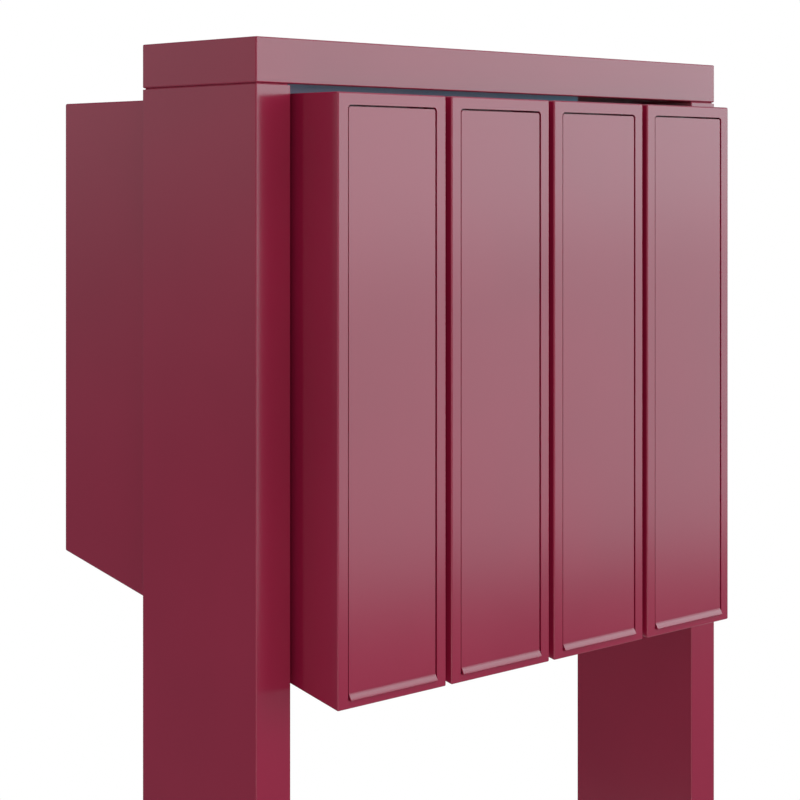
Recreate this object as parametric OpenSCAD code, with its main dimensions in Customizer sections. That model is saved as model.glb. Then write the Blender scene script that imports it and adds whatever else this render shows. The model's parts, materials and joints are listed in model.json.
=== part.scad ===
// Free-standing cluster mailbox unit: four tall, narrow letterboxes side by side
// in a portal frame of two posts and a top beam.
// Mail goes in behind the top-hinged front flaps and comes out at the rear doors.
// The front faces -Y. The origin is midway between the posts, on the ground.

/* [Frame] */
// Height of the whole unit above the ground
total_h = 1400; // [1100:10:1700]
// Width of each post, across the unit
post_w = 30; // [25:1:50]
// Depth of each post and of the top beam, front to back
post_d = 120; // [100:5:160]
// Wall of the posts and of the top beam
tube_wall = 2; // [1.5:0.5:3]
// Outer corner radius of the posts and of the top beam
tube_corner_r = 1; // [0.5:0.5:2]
// Height of the top beam
beam_h = 30; // [24:1:50]
// Seam between the top of a post and the beam, filled by a gasket
beam_seam = 1; // [0.5:0.5:2]
// Air gap between the letterboxes and the top beam
beam_gap = 6; // [4:1:12]
// How far the beam's spigots reach down into the posts
spigot_reach = 50; // [40:5:80]

/* [Base plates] */
// Width of a base plate, across the unit
base_w = 100; // [90:5:140]
// Depth of a base plate, front to back
base_d = 200; // [160:10:260]
// Thickness of a base plate
base_t = 8; // [6:1:12]
// Distance of the anchor holes from the post's middle, across the unit
anchor_dx = 34; // [32:1:40]
// Distance of the anchor holes from the post's middle, front to back
anchor_dy = 80; // [72:1:84]
// Radius of an anchor hole
anchor_r = 5.5; // [4:0.5:7]

/* [Letterboxes] */
// Width of one letterbox
box_w = 100; // [90:1:130]
// Height of a letterbox at its front
box_h = 400; // [340:5:480]
// Depth of a letterbox
box_d = 300; // [270:5:360]
// How far the sloping floor rises from front to back
floor_rise = 67; // [40:1:90]
// Gap between neighbouring letterboxes, and between them and the posts
box_gap = 5; // [3:0.5:10]
// How far the letterboxes stand in front of the posts
box_overhang = 40; // [20:1:60]
// Thickness of the letterbox sheet
sheet = 1.5; // [1:0.25:2]
// Outer bend radius of the letterbox sheet
bend_r = 1.25; // [1:0.25:3]
// Width of the front border beside the flap
front_border = 9; // [8:0.5:14]
// Height of the front border above the flap
top_border = 8.2; // [8:0.1:14]
// Height of the front border under the flap
sill_h = 5; // [3:0.5:6]

/* [Front flap] */
// Gap around the flap and around the rear door
panel_gap = 1.2; // [1:0.1:2]
// How far the flap and the rear door lie behind the faces around them
panel_recess = 0.5; // [0:0.1:1]
// Height of the fold where the finger lip starts
lip_z = 10.3; // [10:0.1:14]
// Length of the finger lip, along its slope
lip_len = 5; // [3:0.5:7]
// Outward slope of the finger lip, from the vertical
lip_angle = 30; // [25:1:45]
// Depth of the flap's side flanges
flap_flange = 8; // [7:0.5:10]
// Distance of the side flanges from the flap's edges
flange_inset = 2.3; // [2:0.1:4]
// Radius of the flap's hinge pin
flap_pin_r = 2; // [1.5:0.25:2]

/* [Slot plate] */
// Depth from the letterbox's front to the slot plate
slot_plate_y = 13; // [12.5:0.5:18]
// Width of the letter slot
slot_w = 36; // [30:1:45]
// Height of the letter slot
slot_h = 345; // [260:5:350]

/* [Rear door] */
// Width of the rear border
rear_border = 9; // [8:0.5:12]
// Depth of the rear door's flanges
door_flange = 10; // [8:0.5:12]
// Distance of the door's pivot from its hinge edge
pivot_inset = 9.8; // [8:0.1:12]
// Radius of the door's pivot pins
pivot_r = 2.5; // [2:0.25:3]

/* [Lock] */
// Distance of the lock's axis from the door's free edge
lock_inset = 16.8; // [16:0.1:20]
// Radius of the lock's barrel
lock_r = 8; // [7:0.5:9]
// Length of the lock's barrel behind the door's face
lock_len = 18; // [17:0.5:22]
// Radius of the lock's turning plug
plug_r = 5.5; // [4.5:0.5:6]
// Reach of the cam from the lock's axis
cam_reach = 22.5; // [21:0.5:23.5]

/* [Side bolts] */
// Radius of the bolts that join the letterboxes and the posts
bolt_r = 3; // [2.5:0.5:4]
// Distance of the bolts from the post's middle, front to back
bolt_dy = 40; // [30:1:45]
// Height of the lower bolts above the letterbox's foot
bolt_low_z = 80; // [60:1:120]
// Height of the upper bolts above the letterbox's foot
bolt_high_z = 340; // [250:5:360]

/* [Hidden] */
$fn = 48;
BOX_COUNT = 4;
SIDES = ["left", "right"];
FRAME_NODES = [
    "post_left", "post_right", "top_beam", "beam_end_left", "beam_end_right",
    "spigot_left", "spigot_right", "beam_gaskets", "base_plate_left", "base_plate_right",
    "beam_lock_screws", "gap_spacers", "side_bolts", "side_nuts", "post_rivet_nuts"
];
BOX_NODES = [
    "box_shell", "slot_plate", "flap", "flap_pin", "flap_bumpers", "rear_door",
    "door_pivots", "lock_barrel", "lock_nut", "lock_plug", "lock_cam"
];

RED = [0.46, 0.05, 0.13];
STEEL = [0.72, 0.72, 0.74];
ZINC = [0.62, 0.63, 0.65];
RUBBER = [0.08, 0.08, 0.09];

// Clearances
fit = 0.05;             // radial play of a fixed pin, screw or plug in its hole
turn_fit = 0.07;        // radial play where a pin turns in its hole
seat_gap = 0.2;         // gap between pieces that almost touch
spigot_play = 0.4;      // play of a spigot in its post
over = 1;               // how far a cut runs past the face that it opens

// Frame
row_w = BOX_COUNT * box_w + (BOX_COUNT - 1) * box_gap;
post_in_x = row_w / 2 + box_gap;
post_mid_x = post_in_x + post_w / 2;
post_out_x = post_in_x + post_w;
beam_z = total_h - beam_h;
post_top = beam_z - beam_seam;
spigot_w = post_w - 2 * (tube_wall + spigot_play);
spigot_d = post_d - 2 * (tube_wall + spigot_play);
gasket_lip = 1.5;       // how far the gasket stays back from the post's outside
lock_screw_len = 10;
lock_screw_z = [post_top - 0.35 * spigot_reach, post_top - 0.75 * spigot_reach];

// Letterbox, in its own frame: x across, y back from the front face, z up from the foot
box_y = -post_d / 2 - box_overhang;
box_z = beam_z - beam_gap - box_h;
floor_slope = atan(floor_rise / box_d);
floor_lift = sheet / cos(floor_slope);
opening_r = 3;          // corner radius of the front and rear openings

// Flap
flap_x = front_border + panel_gap;
flap_w = box_w - 2 * flap_x;
flap_top = box_h - top_border - panel_gap;
flap_back_y = panel_recess + sheet + flap_flange;
flap_pin_y = panel_recess + sheet + flap_pin_r + 0.6;
flap_pin_z = flap_top - flap_pin_r - 2.3;
flange_foot = lip_z + 2.7;
pin_head_r = flap_pin_r + 0.8;
pin_head_t = 1;

// Slot plate
pan_wall_x = front_border - 0.5 - sheet;
pan_top = box_h - 4 - sheet;
pan_foot = floor_at(slot_plate_y + sheet) + seat_gap;
rim_y = panel_recess + sheet + 0.4;
rim_in_x = flap_x + flange_inset - 0.8;
bumper_r = 4;
bumper_z = 28;
slot_corner_r = 4;

// Rear door
door_x = rear_border + panel_gap;
door_w = box_w - 2 * door_x;
door_out_y = box_d - panel_recess;
door_foot = floor_rise + rear_border + panel_gap;
door_top = box_h - rear_border - panel_gap;
pivot_x = door_x + pivot_inset;
pivot_y = door_out_y - pivot_r - 4;
tab_gap = 0.5;          // gap between a hinge tab and the edge of the rear opening
tab_t = 2;
pivot_head_r = pivot_r + 1.5;
pivot_head_t = 1.5;
low_tab_z = floor_rise + rear_border - tab_gap - tab_t;
high_tab_z = box_h - rear_border + tab_gap;

// Lock
lock_x = door_x + door_w - lock_inset;
lock_z = (door_foot + door_top) / 2;
head_r = lock_r + 2;
head_t = 2.5;
barrel_end_y = door_out_y - lock_len;
cam_t = 2;
cam_w = 12;
cam_y = barrel_end_y - seat_gap - cam_t;
neck_r = 4;
strike_depth = box_d - sheet - (cam_y + cam_t + 0.7);

// Side bolts
bolt_head_r = 1.75 * bolt_r;
bolt_head_t = 1.1 * bolt_r;
nut_r = 1.92 * bolt_r;
nut_t = 5;
rivet_r = 1.5 * bolt_r;
spacer_r = bolt_r + 5;
bolt_spots = [for (dy = [-bolt_dy, bolt_dy], z = [bolt_low_z, bolt_high_z]) [dy, z]];

// Height of the floor's upper face at depth y
function floor_at(y) = floor_lift + y * floor_rise / box_d;

// Left edge of letterbox i, counted from 0
function box_x(i) = -row_w / 2 + i * (box_w + box_gap);

// Which way a side of the unit lies
function side_sign(side) = side == "left" ? -1 : 1;

// ---- Shapes that repeat ----

module rounded_rect(w, d, r) {
    union() {
        translate([r, 0]) square([w - 2 * r, d]);
        translate([0, r]) square([w, d - 2 * r]);
        for (x = [r, w - r], y = [r, d - r]) translate([x, y]) circle(r);
    }
}

// Round rod along +X from the origin
module rod_x(r, len) { rotate([0, 90, 0]) cylinder(r = r, h = len); }

// Round rod along +Y from the origin
module rod_y(r, len) { rotate([-90, 0, 0]) cylinder(r = r, h = len); }

// Shape extruded along +X, drawn with its own x as depth and its own y as height
module along_x(len) { rotate([90, 0, 90]) linear_extrude(len) children(); }

// Shape extruded along +Y, drawn with its own x across and its own y as height
module along_y(len) { translate([0, len, 0]) rotate([90, 0, 0]) linear_extrude(len) children(); }

module in_box(i) { translate([box_x(i), box_y, box_z]) children(); }

// The same thing on the left as drawn on the right
module on_side(side) {
    if (side == "left") mirror([1, 0, 0]) children();
    else children();
}

// ---- Frame ----

module post(side) {
    color(RED) on_side(side) translate([post_in_x, -post_d / 2, base_t]) difference() {
        linear_extrude(post_top - base_t) rounded_rect(post_w, post_d, tube_corner_r);
        translate([tube_wall, tube_wall, -over])
            cube([post_w - 2 * tube_wall, post_d - 2 * tube_wall, post_top + over]);
        for (spot = bolt_spots)
            translate([-over, post_d / 2 + spot[0], box_z - base_t + spot[1]])
                rod_x(rivet_r + fit, tube_wall + 2 * over);
        for (z = lock_screw_z)
            translate([post_w / 2, post_d - tube_wall - over, z - base_t])
                rod_y(bolt_r + fit, tube_wall + 2 * over);
    }
}

module top_beam() {
    color(RED) difference() {
        translate([-post_out_x, -post_d / 2, beam_z])
            along_x(2 * post_out_x) rounded_rect(post_d, beam_h, tube_corner_r);
        translate([-post_out_x - over, tube_wall - post_d / 2, beam_z + tube_wall])
            cube([2 * (post_out_x + over), post_d - 2 * tube_wall, beam_h - 2 * tube_wall]);
    }
}

// Plate that closes an end of the beam, flush with it
module beam_end(side) {
    color(RED) on_side(side)
        translate([post_out_x - tube_wall, tube_wall - post_d / 2, beam_z + tube_wall])
            cube([tube_wall, post_d - 2 * tube_wall, beam_h - 2 * tube_wall]);
}

// Short tube under the beam that drops into a post
module spigot(side) {
    color(STEEL) on_side(side)
        translate([post_mid_x - spigot_w / 2, -spigot_d / 2, post_top - spigot_reach]) difference() {
            cube([spigot_w, spigot_d, spigot_reach + beam_seam]);
            translate([tube_wall, tube_wall, -over])
                cube([spigot_w - 2 * tube_wall, spigot_d - 2 * tube_wall, spigot_reach + beam_seam + 2 * over]);
            for (z = lock_screw_z)
                translate([spigot_w / 2, spigot_d - tube_wall - over, z - post_top + spigot_reach])
                    rod_y(bolt_r + fit, tube_wall + 2 * over);
        }
}

module beam_gaskets() {
    hole = [spigot_w + 2 * seat_gap, spigot_d + 2 * seat_gap];
    color(RED) for (side = SIDES) on_side(side) translate([0, 0, post_top]) difference() {
        translate([post_in_x + gasket_lip, gasket_lip - post_d / 2, 0])
            cube([post_w - 2 * gasket_lip, post_d - 2 * gasket_lip, beam_seam]);
        translate([post_mid_x - hole[0] / 2, -hole[1] / 2, -over])
            cube([hole[0], hole[1], beam_seam + 2 * over]);
    }
}

// Grub screws that hold the spigots, flush with the back of the posts
module beam_lock_screws() {
    color(ZINC) for (side = SIDES, z = lock_screw_z) on_side(side)
        translate([post_mid_x, post_d / 2 - lock_screw_len, z]) difference() {
            rod_y(bolt_r, lock_screw_len);
            translate([0, lock_screw_len - bolt_r, 0]) rotate([-90, 0, 0])
                cylinder(r = bolt_r * 0.55, h = bolt_r + over, $fn = 6);
        }
}

module base_plate(side) {
    color(RED) on_side(side) translate([post_mid_x - base_w / 2, -base_d / 2, 0]) difference() {
        linear_extrude(base_t) rounded_rect(base_w, base_d, 8);
        for (dx = [-anchor_dx, anchor_dx], dy = [-anchor_dy, anchor_dy])
            translate([base_w / 2 + dx, base_d / 2 + dy, -over])
                cylinder(r = anchor_r, h = base_t + 2 * over);
    }
}

// ---- Bolts between the letterboxes and the posts ----

// Puts its children at each bolt's place on the plane at x
module at_bolts(x) {
    for (spot = bolt_spots) translate([x, spot[0], box_z + spot[1]]) children();
}

// Bolt along +X, with its head's underside at the origin
module bolt(len) {
    difference() {
        union() {
            rod_x(bolt_r, len);
            translate([-bolt_head_t, 0, 0]) rod_x(bolt_head_r, bolt_head_t);
        }
        translate([-bolt_head_t - over, 0, 0]) rotate([0, 90, 0])
            cylinder(r = bolt_r * 0.72, h = over + bolt_head_t * 0.6, $fn = 6);
    }
}

module gap_spacers() {
    color(ZINC) for (i = [0:BOX_COUNT]) at_bolts(box_x(i) - box_gap) difference() {
        rod_x(spacer_r, box_gap);
        translate([-over, 0, 0]) rod_x(bolt_r + 2 * fit, box_gap + 2 * over);
    }
}

module side_bolts() {
    color(ZINC) {
        for (i = [0:BOX_COUNT - 2])
            at_bolts(box_x(i) + box_w - sheet) bolt(2 * sheet + box_gap + nut_t + 1);
        for (side = SIDES) on_side(side)
            at_bolts(row_w / 2 - sheet) bolt(sheet + box_gap + tube_wall + 11);
    }
}

module side_nuts() {
    color(ZINC) for (i = [1:BOX_COUNT - 1]) at_bolts(box_x(i) + sheet) difference() {
        rotate([0, 90, 0]) cylinder(r = nut_r, h = nut_t, $fn = 6);
        translate([-over, 0, 0]) rod_x(bolt_r + fit, nut_t + 2 * over);
    }
}

// Threaded inserts set in the inner face of each post
module post_rivet_nuts() {
    color(ZINC) for (side = SIDES) on_side(side) at_bolts(post_in_x) difference() {
        union() {
            rod_x(rivet_r, 13);
            translate([tube_wall, 0, 0]) rod_x(rivet_r + 1.3, 4);
        }
        translate([-over, 0, 0]) rod_x(bolt_r + fit, 13 + 2 * over);
    }
}

// ---- Letterbox ----

// Side profile of a letterbox, moved in by t on every side
module box_profile(t) {
    polygon([
        [t, t > 0 ? floor_at(t) : 0], [box_d - t, t > 0 ? floor_at(box_d - t) : floor_rise],
        [box_d - t, box_h - t], [t, box_h - t]
    ]);
}

// Outside of a letterbox, with its bends rounded
module box_solid() {
    intersection() {
        along_x(box_w) box_profile(0);
        linear_extrude(box_h) rounded_rect(box_w, box_d, bend_r);
        along_y(box_d) rounded_rect(box_w, box_h, bend_r);
        along_x(box_w) rounded_rect(box_d, box_h, bend_r);
    }
}

module hinge_tab(z) {
    translate([pivot_x - 8, pivot_y - 7, z]) difference() {
        cube([16, box_d - sheet - pivot_y + 7, tab_t]);
        translate([8, 7, -over]) cylinder(r = pivot_r + fit, h = tab_t + 2 * over);
    }
}

module box_shell(i) {
    color(RED) in_box(i) union() {
        difference() {
            box_solid();
            translate([sheet, 0, 0]) along_x(box_w - 2 * sheet) box_profile(sheet);
            translate([front_border, -over, sill_h])
                along_y(sheet + 2 * over)
                    rounded_rect(box_w - 2 * front_border, box_h - top_border - sill_h, opening_r);
            translate([rear_border, box_d - sheet - over, floor_rise + rear_border])
                along_y(sheet + 2 * over)
                    rounded_rect(box_w - 2 * rear_border, box_h - floor_rise - 2 * rear_border, opening_r);
            for (spot = bolt_spots)
                translate([-over, spot[0] - box_y, spot[1]]) rod_x(bolt_r + 2 * fit, box_w + 2 * over);
        }
        // Strike flange that the lock's cam turns behind
        translate([box_w - rear_border, box_d - sheet - strike_depth, door_foot])
            cube([sheet, strike_depth, door_top - door_foot]);
        hinge_tab(low_tab_z);
        hinge_tab(high_tab_z);
    }
}

// Shallow pan behind the flap, with the letter slot in its back and a rim behind each side gap
module slot_plate(i) {
    pan_w = box_w - 2 * pan_wall_x;
    pan_h = pan_top + sheet - pan_foot;
    slot_z = (pan_foot + flap_pin_z - slot_h) / 2;
    rim_w = rim_in_x - pan_wall_x;
    rim_h = flap_pin_z - flap_pin_r - 0.5 - pan_foot;
    color(RED) in_box(i) union() {
        difference() {
            translate([pan_wall_x, sheet, pan_foot]) cube([pan_w, slot_plate_y, pan_h]);
            translate([pan_wall_x + sheet, sheet - over, pan_foot - over])
                cube([pan_w - 2 * sheet, slot_plate_y - sheet + over, pan_h - sheet + over]);
            translate([(box_w - slot_w) / 2, slot_plate_y - over, slot_z])
                along_y(sheet + 2 * over) rounded_rect(slot_w, slot_h, slot_corner_r);
            translate([0, flap_pin_y, flap_pin_z]) rod_x(flap_pin_r + fit, box_w);
        }
        for (x = [pan_wall_x, box_w - rim_in_x])
            translate([x, rim_y, pan_foot]) cube([rim_w, sheet, rim_h]);
    }
}

// Side profile of the flap's sheet, with the finger lip folded outward at its foot
module flap_profile() {
    out = lip_len * sin(lip_angle);
    down = lip_len * cos(lip_angle);
    polygon([
        [0, flap_top], [0, lip_z],
        [-out, lip_z - down],
        [sheet * cos(lip_angle) - out, lip_z - down - sheet * sin(lip_angle)],
        [sheet, lip_z - sheet * tan(lip_angle / 2)], [sheet, flap_top]
    ]);
}

module flap(i) {
    corner_r = opening_r - panel_gap;
    color(RED) in_box(i) difference() {
        union() {
            intersection() {
                translate([flap_x, panel_recess, 0]) along_x(flap_w) flap_profile();
                translate([flap_x, -lip_len, 0])
                    along_y(2 * lip_len) rounded_rect(flap_w, flap_top, corner_r);
            }
            for (x = [flap_x + flange_inset, flap_x + flap_w - flange_inset - sheet])
                translate([x, panel_recess + sheet, flange_foot])
                    cube([sheet, flap_flange, flap_top - corner_r - flange_foot]);
        }
        translate([0, flap_pin_y, flap_pin_z]) rod_x(flap_pin_r + turn_fit, box_w);
    }
}

module flap_pin(i) {
    head_x = pan_wall_x - pin_head_t;
    color(STEEL) in_box(i) translate([head_x, flap_pin_y, flap_pin_z]) union() {
        rod_x(flap_pin_r, box_w - 2 * head_x);
        rod_x(pin_head_r, pin_head_t);
        translate([box_w - 2 * head_x - pin_head_t, 0, 0]) rod_x(pin_head_r, pin_head_t);
    }
}

module flap_bumpers(i) {
    inset = flap_x + flange_inset + sheet / 2;
    color(RUBBER) in_box(i) for (x = [inset, box_w - inset])
        translate([x, flap_back_y + seat_gap, bumper_z])
            rod_y(bumper_r, slot_plate_y - flap_back_y - seat_gap);
}

module rear_door(i) {
    door_h = door_top - door_foot;
    color(RED) in_box(i) difference() {
        translate([door_x, door_out_y - sheet - door_flange, door_foot]) difference() {
            along_y(sheet + door_flange) rounded_rect(door_w, door_h, opening_r - panel_gap);
            translate([sheet, -over, sheet]) cube([door_w - 2 * sheet, door_flange + over, door_h - 2 * sheet]);
        }
        translate([lock_x, box_d - 2 * sheet - over, lock_z]) rod_y(lock_r + fit, 2 * (sheet + over));
        translate([pivot_x, pivot_y, door_foot - over])
            cylinder(r = pivot_r + turn_fit, h = door_h + 2 * over);
    }
}

// Fixed pins in the hinge tabs, and the thrust washer that the door stands on
module door_pivots(i) {
    low_len = door_foot + 3 * sheet - low_tab_z;
    high_len = high_tab_z + tab_t - door_top + 3 * sheet;
    washer_t = door_foot - low_tab_z - tab_t - seat_gap / 2;
    color(STEEL) in_box(i) translate([pivot_x, pivot_y, 0]) {
        translate([0, 0, low_tab_z]) cylinder(r = pivot_r, h = low_len);
        translate([0, 0, low_tab_z - pivot_head_t]) cylinder(r = pivot_head_r, h = pivot_head_t);
        translate([0, 0, high_tab_z + tab_t - high_len]) cylinder(r = pivot_r, h = high_len);
        translate([0, 0, high_tab_z + tab_t]) cylinder(r = pivot_head_r, h = pivot_head_t);
        translate([0, 0, low_tab_z + tab_t]) difference() {
            cylinder(r = 2 * pivot_r, h = washer_t);
            translate([0, 0, -over]) cylinder(r = pivot_r + turn_fit, h = washer_t + 2 * over);
        }
    }
}

module at_lock(i) { in_box(i) translate([lock_x, door_out_y, lock_z]) children(); }

module lock_barrel(i) {
    color(ZINC) at_lock(i) difference() {
        union() {
            rod_y(head_r, head_t);
            translate([0, -lock_len, 0]) rod_y(lock_r, lock_len);
        }
        translate([0, -lock_len - over, 0]) rod_y(plug_r + turn_fit, lock_len + head_t + 2 * over);
    }
}

module lock_nut(i) {
    nut_depth = 4;
    color(ZINC) at_lock(i) translate([0, -sheet - nut_depth, 0]) difference() {
        rotate([-90, 0, 0]) cylinder(r = lock_r + 3.5, h = nut_depth, $fn = 6);
        translate([0, -over, 0]) rod_y(lock_r + fit, nut_depth + 2 * over);
    }
}

module lock_plug(i) {
    keyway = [7, 12, 1.4];
    color(STEEL) at_lock(i) difference() {
        union() {
            translate([0, -lock_len, 0]) rod_y(plug_r, lock_len + head_t);
            translate([0, cam_y - door_out_y, 0]) rod_y(neck_r, cam_t + seat_gap + over);
        }
        translate([-keyway[0] / 2, head_t - keyway[1], -keyway[2] / 2])
            cube([keyway[0], keyway[1] + over, keyway[2]]);
    }
}

// Cam plate, pointing down when unlocked, and the screw that holds it on the plug
module lock_cam(i) {
    color(ZINC) at_lock(i) translate([0, cam_y - door_out_y, 0]) {
        difference() {
            union() {
                rod_y(cam_w / 2, cam_t);
                translate([-cam_w / 2, 0, -cam_reach]) cube([cam_w, cam_t, cam_reach]);
            }
            translate([0, -over, 0]) rod_y(neck_r + fit, cam_t + 2 * over);
        }
        translate([0, -2.5, 0]) rod_y(neck_r + 1, 2.5);
    }
}

// ---- The nodes ----

post("left");  // post_left
post("right");  // post_right
top_beam();
beam_end("left");  // beam_end_left
beam_end("right");  // beam_end_right
spigot("left");  // spigot_left
spigot("right");  // spigot_right
beam_gaskets();
base_plate("left");  // base_plate_left
base_plate("right");  // base_plate_right
beam_lock_screws();
gap_spacers();
side_bolts();
side_nuts();
post_rivet_nuts();
for (i = [0:BOX_COUNT - 1]) {
    box_shell(i);
    slot_plate(i);
    flap(i);
    flap_pin(i);
    flap_bumpers(i);
    rear_door(i);
    door_pivots(i);
    lock_barrel(i);
    lock_nut(i);
    lock_plug(i);
    lock_cam(i);
}
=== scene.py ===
import json
import math

import bmesh
import bpy
from mathutils import Matrix, Vector


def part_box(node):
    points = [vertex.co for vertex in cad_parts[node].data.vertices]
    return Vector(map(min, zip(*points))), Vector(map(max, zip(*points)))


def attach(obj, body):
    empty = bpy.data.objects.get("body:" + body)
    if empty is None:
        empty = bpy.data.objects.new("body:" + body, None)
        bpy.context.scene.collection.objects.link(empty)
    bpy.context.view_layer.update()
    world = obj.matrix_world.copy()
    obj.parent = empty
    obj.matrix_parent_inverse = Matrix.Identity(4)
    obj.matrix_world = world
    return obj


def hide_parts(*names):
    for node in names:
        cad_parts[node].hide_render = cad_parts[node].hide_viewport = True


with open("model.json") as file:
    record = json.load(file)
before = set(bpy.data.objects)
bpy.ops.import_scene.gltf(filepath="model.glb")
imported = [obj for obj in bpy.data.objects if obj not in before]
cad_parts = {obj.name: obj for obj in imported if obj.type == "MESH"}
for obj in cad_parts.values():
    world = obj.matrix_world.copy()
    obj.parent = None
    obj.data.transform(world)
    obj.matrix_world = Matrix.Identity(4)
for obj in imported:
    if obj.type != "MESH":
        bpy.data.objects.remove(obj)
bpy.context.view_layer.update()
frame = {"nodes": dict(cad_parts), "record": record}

# Looks of the cluster mailbox unit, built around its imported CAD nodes. Lengths are in metres.
# X is to the right, Y to the rear and Z up; the flaps face -Y.

MM = 0.001
BOX_COUNT = len([n for n in frame["nodes"] if n.startswith("box_shell_")])
SIDES = ("left", "right")

# Sheet metal
SHEET = 1.5 * MM
BEND_R = 1.25 * MM           # outer radius of a letterbox's bends
CUT_EDGE_R = 0.6 * MM        # softening of a cut edge by the powder coat
PANEL_EDGE_R = 1.0 * MM      # softening of a flap's or a door's outline
TUBE_R = 1.0 * MM            # outer corner radius of the beam
PLATE_EDGE_R = 0.8 * MM       # edge radius of the base plates
BEND_STEPS = 5

# Edge radii of the smaller pieces
BOX_PART_EDGES = {"flap": PANEL_EDGE_R, "rear_door": PANEL_EDGE_R, "slot_plate": CUT_EDGE_R,
                  "flap_pin": 0.3 * MM, "flap_bumpers": 0.5 * MM, "door_pivots": 0.3 * MM,
                  "lock_barrel": 0.6 * MM, "lock_nut": 0.4 * MM, "lock_plug": 0.15 * MM,
                  "lock_cam": 0.3 * MM}
FRAME_PART_EDGES = {"beam_gaskets": 0.15 * MM, "beam_lock_screws": 0.2 * MM,
                    "gap_spacers": 0.3 * MM, "side_bolts": 0.5 * MM,
                    "side_nuts": 0.4 * MM, "post_rivet_nuts": 0.3 * MM}

# Letterbox openings, as part.scad has them
FRONT_BORDER = 9.0 * MM
TOP_BORDER = 8.2 * MM
SILL_H = 5.0 * MM
REAR_BORDER = 9.0 * MM
FLOOR_RISE = 67.0 * MM
BOX_H = 400.0 * MM
OPENING_R = 3.0 * MM
BOLT_HOLE_R = 3.1 * MM
BOLT_YS = (60.0 * MM, 140.0 * MM)
BOLT_ZS = (80.0 * MM, 340.0 * MM)

# Folded and welded parts inside a letterbox's rear
STRIKE_DEPTH = 16.5 * MM     # of the flange that the lock's cam turns behind
TAB_GAP = 0.5 * MM           # from a hinge tab to the edge of the rear opening
TAB_T = 2.0 * MM
TAB_REACH = 7.0 * MM         # of a hinge tab, past its pivot's axis
TAB_HALF_W = 8.0 * MM

# Weld seams round the feet of the posts
WELD_LEG = 4.5 * MM
WELD_RIPPLE = 0.25 * MM
WELD_PITCH = 2.6 * MM
WELD_STEP = 0.65 * MM        # spacing of the seam's cross-sections
WELD_HOLLOW = 1.4            # 1 is a round seam, and more draws it in
WELD_ARC_STEPS = 6           # facets of a quarter turn

# Camera: level, with a vertical shift, as an architect's photo
CAMERA_AT = (-1127.25 * MM, -1098.02 * MM, 1304.51 * MM)
CAMERA_YAW = 44.3545         # degrees from +Y towards +X
CAMERA_LENS = 94.775
CAMERA_SHIFT_Y = -0.27043

# Studio light. A panel stands at an azimuth, in degrees from -Y towards +X. Its half width is a sine,
# sharp to soft edge, and its radiance goes by the sine of elevation.
PEAK = 4.0
KEY = {"azimuth": 46.0, "half_width": (0.25, 0.36), "tilt": 0.115, "tint": (0.76, 1.0, 1.03),
       "levels": ((-0.60, 0.0), (-0.25, 0.04), (-0.184, 0.08), (-0.174, 2.05), (-0.13, 2.16),
                  (-0.040, 2.38), (-0.012, 3.70), (0.03, 3.85), (0.10, 3.90),
                  (0.34, 3.4), (0.50, 1.0), (0.66, 0.0))}
FILL = {"azimuth": 224.4, "half_width": (0.36, 0.66), "tilt": 0.0, "tint": (0.95, 1.0, 1.0),
        "levels": ((-0.14, 0.0), (-0.05, 0.17), (0.03, 0.5), (0.12, 0.6), (0.4, 0.0))}
NEAR = {"azimuth": 315.6, "half_width": (0.12, 0.24), "tilt": 0.0, "tint": (1.0, 1.0, 1.0),
        "levels": ((-0.36, 0.0), (-0.30, 1.9), (0.20, 1.9), (0.30, 0.0))}
FRONT = {"azimuth": 345.0, "half_width": (0.45, 0.60), "tilt": 0.0, "tint": (1.0, 1.0, 1.0),
         "levels": ((-0.60, 0.0), (-0.40, 0.40), (0.70, 0.40), (0.85, 0.0))}
DUSK_TOWARD = (0.70, 0.714, 0.0)
DUSK_SPREAD = (0.50, 0.90)
DUSK = (0.10, 0.19, 0.26)
AMBIENT = (0.24, 0.26, 0.29)
OVERHEAD = 0.7
OVERHEAD_SPREAD = (0.50, 0.80)
FLOOR_R = 2.5


# ---- Materials ----

def new_material(name):
    """An empty node material, its shader and a function that adds a node."""
    mat = bpy.data.materials.new(name)
    mat.use_nodes = True
    tree = mat.node_tree
    shader = tree.nodes["Principled BSDF"]

    def add(kind, **values):
        node = tree.nodes.new(kind)
        for key, value in values.items():
            if key in node.inputs:
                node.inputs[key].default_value = value
            else:
                setattr(node, key, value)
        return node

    return mat, shader, add, tree.links.new


def noise(add, link, scale, detail, coords):
    node = add("ShaderNodeTexNoise", Scale=scale, Detail=detail)
    link(coords, node.inputs["Vector"])
    return node.outputs["Fac"]


def ramp(add, link, factor, low, high, start=0.35, end=0.65):
    """Maps a noise to the span from low to high."""
    node = add("ShaderNodeMapRange")
    node.inputs["From Min"].default_value = start
    node.inputs["From Max"].default_value = end
    node.inputs["To Min"].default_value = low
    node.inputs["To Max"].default_value = high
    link(factor, node.inputs["Value"])
    return node.outputs["Result"]


def blend_colours(add, link, factor, first, second):
    node = add("ShaderNodeMix", data_type="RGBA")
    node.inputs[6].default_value = (*first, 1)
    node.inputs[7].default_value = (*second, 1)
    link(factor, node.inputs["Factor"])
    return node.outputs[2]


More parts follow.
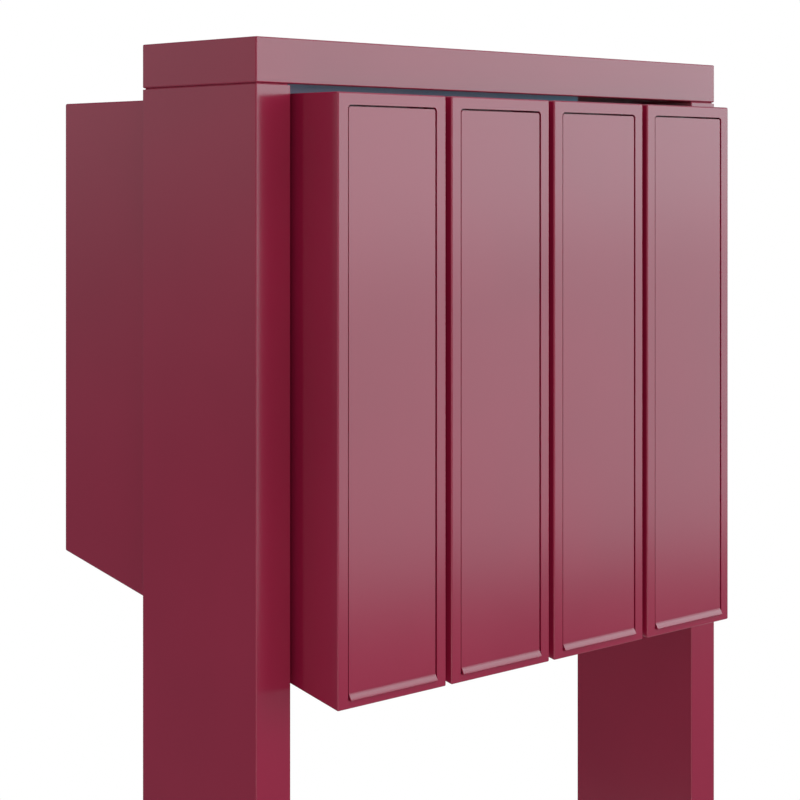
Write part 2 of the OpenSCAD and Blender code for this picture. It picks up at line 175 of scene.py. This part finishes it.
def powder_coat():
    """Ruby-red satin powder coat: fine orange peel, faint drift of tone and gloss."""
    mat, shader, add, link = new_material("ruby_powder_coat")
    coords = add("ShaderNodeTexCoord").outputs["Object"]
    drift = noise(add, link, 6, 3, coords)
    grain = noise(add, link, 900, 2, coords)
    peel = noise(add, link, 420, 3, coords)
    tone = blend_colours(add, link, ramp(add, link, drift, 0, 1),
                         (0.294, 0.010, 0.041), (0.320, 0.011, 0.045))
    link(tone, shader.inputs["Base Color"])
    gloss = add("ShaderNodeMath", operation="ADD")
    link(ramp(add, link, drift, 0.125, 0.14), gloss.inputs[0])
    link(ramp(add, link, grain, 0, 0.015), gloss.inputs[1])
    link(gloss.outputs[0], shader.inputs["Roughness"])
    bump = add("ShaderNodeBump", Strength=0.08, Distance=0.02 * MM)
    link(peel, bump.inputs["Height"])
    link(bump.outputs["Normal"], shader.inputs["Normal"])
    shader.inputs["IOR"].default_value = 1.5
    return mat


def metal(name, colour, rough, stretch, scratch):
    """Bare or plated metal with lay marks stretched along one axis."""
    mat, shader, add, link = new_material(name)
    coords = add("ShaderNodeTexCoord").outputs["Object"]
    squeeze = add("ShaderNodeMapping")
    squeeze.inputs["Scale"].default_value = stretch
    link(coords, squeeze.inputs["Vector"])
    marks = noise(add, link, 900, 3, squeeze.outputs["Vector"])
    cloud = noise(add, link, 140, 3, coords)
    darker = tuple(c * 0.86 for c in colour)
    link(blend_colours(add, link, ramp(add, link, cloud, 0, 1), darker, colour),
         shader.inputs["Base Color"])
    link(ramp(add, link, marks, rough * 0.8, rough * 1.25), shader.inputs["Roughness"])
    bump = add("ShaderNodeBump", Strength=scratch, Distance=0.01 * MM)
    link(marks, bump.inputs["Height"])
    link(bump.outputs["Normal"], shader.inputs["Normal"])
    shader.inputs["Metallic"].default_value = 1.0
    return mat


def rubber(name, dark, light):
    mat, shader, add, link = new_material(name)
    coords = add("ShaderNodeTexCoord").outputs["Object"]
    dust = noise(add, link, 300, 4, coords)
    pores = noise(add, link, 2500, 2, coords)
    link(blend_colours(add, link, ramp(add, link, dust, 0, 1), dark, light), shader.inputs["Base Color"])
    link(ramp(add, link, dust, 0.62, 0.8), shader.inputs["Roughness"])
    bump = add("ShaderNodeBump", Strength=0.3, Distance=0.03 * MM)
    link(pores, bump.inputs["Height"])
    link(bump.outputs["Normal"], shader.inputs["Normal"])
    return mat


def pale_floor():
    mat, shader, add, link = new_material("pale_floor")
    coords = add("ShaderNodeTexCoord").outputs["Object"]
    cloud = noise(add, link, 3, 4, coords)
    link(blend_colours(add, link, ramp(add, link, cloud, 0, 1),
                       (0.74, 0.74, 0.74), (0.78, 0.78, 0.78)), shader.inputs["Base Color"])
    shader.inputs["Roughness"].default_value = 0.8
    return mat


RED = powder_coat()
STAINLESS = metal("turned_stainless", (0.60, 0.59, 0.57), 0.28, (1, 1, 1), 0.1)
ZINC = metal("zinc_plating", (0.62, 0.65, 0.68), 0.34, (1, 1, 1), 0.12)
NICKEL = metal("satin_nickel", (0.70, 0.67, 0.62), 0.24, (0.1, 1, 1), 0.1)
BLACK_RUBBER = rubber("black_rubber", (0.018, 0.018, 0.019), (0.034, 0.034, 0.036))
RED_RUBBER = rubber("red_rubber", (0.42, 0.020, 0.065), (0.50, 0.028, 0.085))
MATERIAL_OF = {"red_powder_coat": RED, "stainless": STAINLESS, "zinc": ZINC,
               "nickel": NICKEL, "black_rubber": BLACK_RUBBER, "red_rubber": RED_RUBBER}
SLOT_OF = {s["node"]: s["material_slot"] for s in frame["record"]["subparts"]}
BODY_OF = {node: body for body, nodes in frame["record"]["behaviour"]["bodies"].items()
           for node in nodes}


# ---- Mesh tools ----

def soften(obj, radius, steps=2, limit=40.0):
    """Rounds the sharp edges of obj by modifiers and shades it smooth."""
    bevel = obj.modifiers.new("soft_edges", "BEVEL")
    bevel.width = radius
    bevel.segments = steps
    bevel.limit_method = "ANGLE"
    bevel.angle_limit = math.radians(limit)
    bevel.miter_outer = "MITER_ARC"
    bevel.harden_normals = False
    for polygon in obj.data.polygons:
        polygon.use_smooth = True
    obj.modifiers.new("even_normals", "WEIGHTED_NORMAL").keep_sharp = True


def dress(node, radius):
    """Gives a CAD node its material, with its facets joined and its sharp edges softened."""
    obj = frame["nodes"][node]
    obj.data.materials.clear()
    obj.data.materials.append(MATERIAL_OF[SLOT_OF[node]])
    obj.modifiers.new("weld", "WELD").merge_threshold = 0.002 * MM
    flat = obj.modifiers.new("join_flat_faces", "DECIMATE")
    flat.decimate_type = "DISSOLVE"
    flat.angle_limit = math.radians(0.5)
    soften(obj, radius)


def piece(name, bm, stands_for):
    """Makes a piece from bm, which is consumed, standing for these CAD nodes."""
    mesh = bpy.data.meshes.new(name)
    bmesh.ops.recalc_face_normals(bm, faces=bm.faces)
    bm.to_mesh(mesh)
    bm.free()
    obj = bpy.data.objects.new(name, mesh)
    bpy.context.scene.collection.objects.link(obj)
    obj.data.materials.append(MATERIAL_OF[SLOT_OF[stands_for[0]]])
    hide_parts(*stands_for)
    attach(obj, BODY_OF[stands_for[0]])
    return obj


def add_block(bm, low, high):
    """A box between two corners; returns its vertices."""
    size = [h - l for l, h in zip(low, high)]
    middle = [(l + h) / 2 for l, h in zip(low, high)]
    place = Matrix.Translation(middle) @ Matrix.Diagonal((*size, 1))
    return bmesh.ops.create_cube(bm, size=1, matrix=place)["verts"]


def bevel_all(bm, verts, radius, steps, keep=lambda edge: True):
    """Rounds the edges between these vertices that keep accepts."""
    chosen = set(verts)
    edges = [e for e in bm.edges if e.verts[0] in chosen and e.verts[1] in chosen and keep(e)]
    bmesh.ops.bevel(bm, geom=edges, offset=radius, segments=steps, profile=0.5, affect="EDGES")


def rounded_outline(w, h, r, steps=6):
    """Corner-rounded rectangle from (0, 0) to (w, h), counter-clockwise."""
    points = []
    for cx, cy, turn in ((w - r, r, -90), (w - r, h - r, 0), (r, h - r, 90), (r, r, 180)):
        for k in range(steps + 1):
            a = math.radians(turn + 90 * k / steps)
            points.append((cx + r * math.cos(a), cy + r * math.sin(a)))
    return points


def extrude_outline(bm, points, place, depth):
    """Closed prism over an outline; place(u, v, t) gives a point, with t from 0 to depth."""
    near = [bm.verts.new(place(u, v, 0)) for u, v in points]
    far = [bm.verts.new(place(u, v, depth)) for u, v in points]
    bm.faces.new(near)
    bm.faces.new(list(reversed(far)))
    count = len(points)
    for k in range(count):
        m = (k + 1) % count
        bm.faces.new((near[m], near[k], far[k], far[m]))
    return near + far


def cut_away(obj, cutter_bm):
    """Takes the cutters out of obj and applies all of its modifiers."""
    bmesh.ops.recalc_face_normals(cutter_bm, faces=cutter_bm.faces)
    mesh = bpy.data.meshes.new("cutters")
    cutter_bm.to_mesh(mesh)
    cutter_bm.free()
    cutter = bpy.data.objects.new("cutters", mesh)
    bpy.context.scene.collection.objects.link(cutter)
    cut = obj.modifiers.new("cut", "BOOLEAN")
    cut.operation = "DIFFERENCE"
    cut.solver = "EXACT"
    cut.object = cutter
    apply_modifiers(obj)
    bpy.data.objects.remove(cutter)


def apply_modifiers(obj):
    graph = bpy.context.evaluated_depsgraph_get()
    done = bpy.data.meshes.new_from_object(obj.evaluated_get(graph))
    obj.modifiers.clear()
    obj.data = done


# ---- Letterboxes ----

def box_origin(i):
    """Front left foot corner of letterbox i."""
    low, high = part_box(f"box_shell_{i}")
    return Vector((low.x, low.y, high.z - BOX_H)), high


def box_shell(i):
    """Folded sheet body with rounded bends, cut openings, strike flange and hinge tabs."""
    at, high = box_origin(i)
    w, d = high.x - at.x, high.y - at.y
    profile = [(0, 0), (d, FLOOR_RISE), (d, BOX_H), (0, BOX_H)]
    bm = bmesh.new()
    verts = extrude_outline(bm, profile, lambda y, z, t: at + Vector((t, y, z)), w)
    bevel_all(bm, verts, BEND_R, BEND_STEPS)
    shell = piece(f"box_shell_{i}_folded", bm, [f"box_shell_{i}"])
    wall = shell.modifiers.new("wall", "SOLIDIFY")
    wall.thickness = SHEET
    wall.offset = -1
    wall.use_even_offset = True

    cutters = bmesh.new()
    reach = 2 * SHEET
    front = rounded_outline(w - 2 * FRONT_BORDER, BOX_H - TOP_BORDER - SILL_H, OPENING_R)
    extrude_outline(cutters, front,
                    lambda u, v, t: at + Vector((FRONT_BORDER + u, t - reach, SILL_H + v)), 2 * reach)
    rear = rounded_outline(w - 2 * REAR_BORDER, BOX_H - FLOOR_RISE - 2 * REAR_BORDER, OPENING_R)
    rear_foot = FLOOR_RISE + REAR_BORDER
    extrude_outline(cutters, rear,
                    lambda u, v, t: at + Vector((REAR_BORDER + u, d + t - reach, rear_foot + v)), 2 * reach)
    for y in BOLT_YS:
        for z in BOLT_ZS:
            middle = Matrix.Translation(at + Vector((w / 2, y, z))) @ Matrix.Rotation(math.pi / 2, 4, "Y")
            bmesh.ops.create_cone(cutters, cap_ends=True, segments=24, radius1=BOLT_HOLE_R,
                                  radius2=BOLT_HOLE_R, depth=w + 2 * reach, matrix=middle)
    cut_away(shell, cutters)
    add_inner_parts(shell, i, at, d)
    soften(shell, CUT_EDGE_R)


def add_inner_parts(shell, i, at, depth):
    """Adds the strike flange and the hinge tabs, welded behind the rear border."""
    door_low, door_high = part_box(f"rear_door_{i}")
    pivot_low, pivot_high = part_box(f"door_pivots_{i}")
    pivot = (pivot_low + pivot_high) / 2
    wall = at.y + depth - SHEET
    strike_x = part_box(f"box_shell_{i}")[1].x - REAR_BORDER
    bm = bmesh.new()
    bm.from_mesh(shell.data)
    add_block(bm, (strike_x, wall - STRIKE_DEPTH, door_low.z), (strike_x + SHEET, wall, door_high.z))
    low_tab = at.z + FLOOR_RISE + REAR_BORDER - TAB_GAP - TAB_T
    high_tab = at.z + BOX_H - REAR_BORDER + TAB_GAP
    for z in (low_tab, high_tab):
        add_block(bm, (pivot.x - TAB_HALF_W, pivot.y - TAB_REACH, z), (pivot.x + TAB_HALF_W, wall, z + TAB_T))
    bm.to_mesh(shell.data)
    bm.free()


def letterboxes():
    for i in range(1, BOX_COUNT + 1):
        box_shell(i)
        for part, radius in BOX_PART_EDGES.items():
            dress(f"{part}_{i}", radius)


# ---- Frame ----

def top_beam():
    """The beam and its end plates, welded and ground to one rounded bar."""
    low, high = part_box("top_beam")
    bm = bmesh.new()
    bevel_all(bm, add_block(bm, low, high), TUBE_R, BEND_STEPS)
    soften(piece("top_beam_closed", bm, ["top_beam", "beam_end_left", "beam_end_right"]), CUT_EDGE_R)


def weld_seam(side):
    """Rippled fillet weld round a post's foot, on its base plate."""
    low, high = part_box(f"post_{side}")
    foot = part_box(f"base_plate_{side}")[1].z
    corners = ((low.x, low.y), (high.x, low.y), (high.x, high.y), (low.x, high.y))
    arc_step = math.pi / 2 / WELD_ARC_STEPS
    path = []
    for k, (x, y) in enumerate(corners):
        next_x, next_y = corners[(k + 1) % 4]
        run = max(abs(next_x - x), abs(next_y - y))
        along = ((next_x - x) / run, (next_y - y) / run)
        steps = round(run / WELD_STEP)
        path += [(x + along[0] * run * m / steps, y + along[1] * run * m / steps, along[1], -along[0])
                 for m in range(steps)]
        turn = math.atan2(-along[0], along[1])
        path += [(next_x, next_y, math.cos(turn + a), math.sin(turn + a))
                 for a in (arc_step * m for m in range(WELD_ARC_STEPS))]
    bm = bmesh.new()
    rings = []
    for k, (x, y, out_x, out_y) in enumerate(path):
        leg = WELD_LEG + WELD_RIPPLE * math.sin(2 * math.pi * k * WELD_STEP / WELD_PITCH)
        ring = []
        for part in range(WELD_ARC_STEPS + 1):
            # Rounding can take the cosine at a right angle just below zero
            out = leg * max(math.cos(arc_step * part), 0.0) ** WELD_HOLLOW
            up = leg * math.sin(arc_step * part) ** WELD_HOLLOW
            ring.append(bm.verts.new((x + out_x * out, y + out_y * out, foot + up)))
        ring.append(bm.verts.new((x, y, foot)))
        rings.append(ring)
    for k, ring in enumerate(rings):
        follower = rings[(k + 1) % len(rings)]
        for part in range(len(ring)):
            m = (part + 1) % len(ring)
            bm.faces.new((ring[part], ring[m], follower[m], follower[part]))
    mesh = bpy.data.meshes.new(f"weld_seam_{side}")
    bmesh.ops.recalc_face_normals(bm, faces=bm.faces)
    bm.to_mesh(mesh)
    bm.free()
    seam = bpy.data.objects.new(f"weld_seam_{side}", mesh)
    bpy.context.scene.collection.objects.link(seam)
    mesh.materials.append(RED)
    mesh.shade_smooth()
    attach(seam, BODY_OF[f"post_{side}"])


def frame_parts():
    top_beam()
    for side in SIDES:
        weld_seam(side)
        dress(f"post_{side}", CUT_EDGE_R)
        dress(f"base_plate_{side}", PLATE_EDGE_R)
        dress(f"spigot_{side}", CUT_EDGE_R)
    for node, radius in FRAME_PART_EDGES.items():
        dress(node, radius)


# ---- Set ----

def studio():
    """Pale floor disc, and a studio of soft light panels painted on the sky."""
    bm = bmesh.new()
    bmesh.ops.create_circle(bm, cap_ends=True, segments=128, radius=FLOOR_R)
    mesh = bpy.data.meshes.new("floor")
    bm.to_mesh(mesh)
    bm.free()
    floor = bpy.data.objects.new("floor", mesh)
    bpy.context.scene.collection.objects.link(floor)
    mesh.materials.append(pale_floor())

    world = bpy.data.worlds.new("studio")
    world.use_nodes = True
    bpy.context.scene.world = world
    tree = world.node_tree
    tree.nodes.clear()
    new, link = tree.nodes.new, tree.links.new

    def value(kind, operation, *operands):
        node = new(kind)
        node.operation = operation
        for socket, given in zip(node.inputs, operands):
            if isinstance(given, (float, int, tuple)):
                socket.default_value = given
            else:
                link(given, socket)
        return node.outputs["Value"]

    toward = new("ShaderNodeTexCoord").outputs["Generated"]

    def along(direction):
        return value("ShaderNodeVectorMath", "DOT_PRODUCT", toward, direction)

    def edge(amount, start, end):
        node = new("ShaderNodeMapRange")
        node.interpolation_type = "SMOOTHSTEP"
        node.inputs["From Min"].default_value = start
        node.inputs["From Max"].default_value = end
        link(amount, node.inputs["Value"])
        return node.outputs["Result"]

    def panel(mask, colour):
        node = new("ShaderNodeVectorMath")
        node.operation = "SCALE"
        node.inputs[0].default_value = colour
        link(mask, node.inputs["Scale"])
        return node.outputs["Vector"]

    def by_height(height, stops):
        """Radiance at a height of the direction, from (sine of elevation, level) stops."""
        node = new("ShaderNodeValToRGB")
        knots = node.color_ramp.elements
        while len(knots) < len(stops):
            knots.new(0.5)
        for knot, (sine, level) in zip(knots, stops):
            knot.position = (sine + 1) / 2
            knot.color = (level / PEAK, level / PEAK, level / PEAK, 1)
        link(value("ShaderNodeMath", "MULTIPLY_ADD", height, 0.5, 0.5), node.inputs["Fac"])
        return value("ShaderNodeMath", "MULTIPLY", node.outputs["Color"], PEAK)

    def panel_light(azimuth, half_width, tilt, tint, levels):
        """An upright strip of light; with a tilt, its levels rise towards +azimuth."""
        turn = math.radians(azimuth)
        ahead = (math.sin(turn), -math.cos(turn), 0)
        aside = (math.cos(turn), math.sin(turn), 0)
        off = value("ShaderNodeMath", "ABSOLUTE", along(aside))
        mask = value("ShaderNodeMath", "MULTIPLY", edge(off, half_width[1], half_width[0]),
                     edge(along(ahead), 0.0, 0.1))
        height = along((-tilt * aside[0], -tilt * aside[1], 1))
        return panel(value("ShaderNodeMath", "MULTIPLY", mask, by_height(height, levels)), tint)

    up = along((0, 0, 1))
    ambient = new("ShaderNodeMix")
    ambient.data_type = "RGBA"
    ambient.inputs[6].default_value = (*AMBIENT, 1)
    ambient.inputs[7].default_value = (*DUSK, 1)
    link(edge(along(DUSK_TOWARD), *DUSK_SPREAD), ambient.inputs["Factor"])
    total = ambient.outputs[2]
    lights = [panel(edge(up, *OVERHEAD_SPREAD), (OVERHEAD, OVERHEAD, OVERHEAD))]
    lights += [panel_light(**facts) for facts in (KEY, FILL, NEAR, FRONT)]
    for light in lights:
        add = new("ShaderNodeVectorMath")
        add.operation = "ADD"
        link(total, add.inputs[0])
        link(light, add.inputs[1])
        total = add.outputs["Vector"]

    lamp = new("ShaderNodeBackground")
    link(total, lamp.inputs["Color"])
    paper = new("ShaderNodeBackground")
    paper.inputs["Color"].default_value = (1, 1, 1, 1)
    choose = new("ShaderNodeMixShader")
    link(new("ShaderNodeLightPath").outputs["Is Camera Ray"], choose.inputs["Fac"])
    link(lamp.outputs[0], choose.inputs[1])
    link(paper.outputs[0], choose.inputs[2])
    link(choose.outputs[0], new("ShaderNodeOutputWorld").inputs["Surface"])
    bpy.context.scene.view_settings.view_transform = "Standard"


def camera():
    data = bpy.data.cameras.new("camera")
    data.lens = CAMERA_LENS
    data.sensor_width = 36
    data.shift_y = CAMERA_SHIFT_Y
    cam = bpy.data.objects.new("camera", data)
    bpy.context.scene.collection.objects.link(cam)
    cam.location = CAMERA_AT
    cam.rotation_euler = (math.radians(90), 0, math.radians(-CAMERA_YAW))
    bpy.context.scene.camera = cam


letterboxes()
frame_parts()
studio()
camera()
